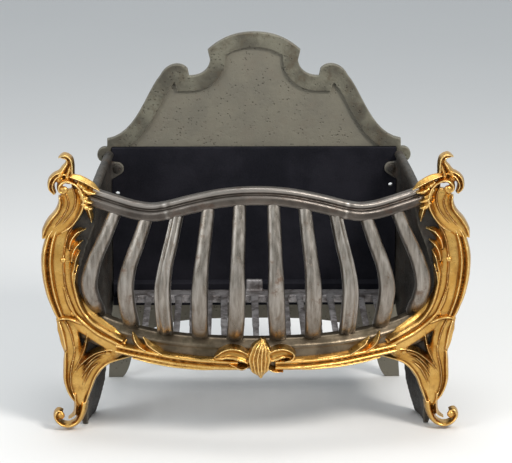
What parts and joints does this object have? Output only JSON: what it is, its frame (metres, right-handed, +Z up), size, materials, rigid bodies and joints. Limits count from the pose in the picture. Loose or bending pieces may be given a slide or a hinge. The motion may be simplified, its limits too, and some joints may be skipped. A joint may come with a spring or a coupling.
{
  "type": "log grate",
  "caption": "Free-standing log grate: a bellied bar basket between iron cheeks with gilt scroll mounts, in front of a tall arched cast back, with a lift-out bottom grate.",
  "frame": {"origin": "middle of the object's footprint, at the level of the hearth", "axes": "+X to the right as seen from the front, +Y towards the back, +Z up"},
  "size_m": [0.7292, 0.4102, 0.637],
  "materials": {
    "cast_iron": "dark brown pitted cast iron, worn lighter on its proud edges",
    "black_iron": "matt black, sooted",
    "bar_steel": "old polished steel, brown in the hollows",
    "grate_iron": "burnt grey iron with pale ash in the corners",
    "gilt_brass": "polished gilt brass, darker in the hollows"
  },
  "bodies": {
    "basket": {"back_casting": "cast_iron", "fireback_liner": "black_iron", "top_rail": "bar_steel", "apron": "bar_steel", "centre_cartouche": "gilt_brass", "bar_1": "bar_steel", "bar_2": "bar_steel", "bar_3": "bar_steel", "bar_4": "bar_steel", "bar_5": "bar_steel", "bar_6": "bar_steel", "bar_7": "bar_steel", "bar_8": "bar_steel", "bar_9": "bar_steel", "bar_10": "bar_steel", "cheek_left": "cast_iron", "gilt_side_mount_left": "gilt_brass", "gilt_upper_scroll_left": "gilt_brass", "gilt_rail_spray_left": "gilt_brass", "gilt_lower_moulding_left": "gilt_brass", "cheek_bolt_left": "cast_iron", "cheek_nut_left": "cast_iron", "mount_screw_left_1": "gilt_brass", "mount_screw_left_2": "gilt_brass", "mount_screw_left_3": "gilt_brass", "cheek_right": "cast_iron", "gilt_side_mount_right": "gilt_brass", "gilt_upper_scroll_right": "gilt_brass", "gilt_rail_spray_right": "gilt_brass", "gilt_lower_moulding_right": "gilt_brass", "cheek_bolt_right": "cast_iron", "cheek_nut_right": "cast_iron", "mount_screw_right_1": "gilt_brass", "mount_screw_right_2": "gilt_brass", "mount_screw_right_3": "gilt_brass"},
    "grate": {"bottom_grate": "grate_iron"}
  },
  "joints": [
    {"name": "grate_lift", "type": "slide", "parent": "basket", "child": "grate", "axis": [0, 0, 1], "range_m": [0, 0.49]}
  ]
}
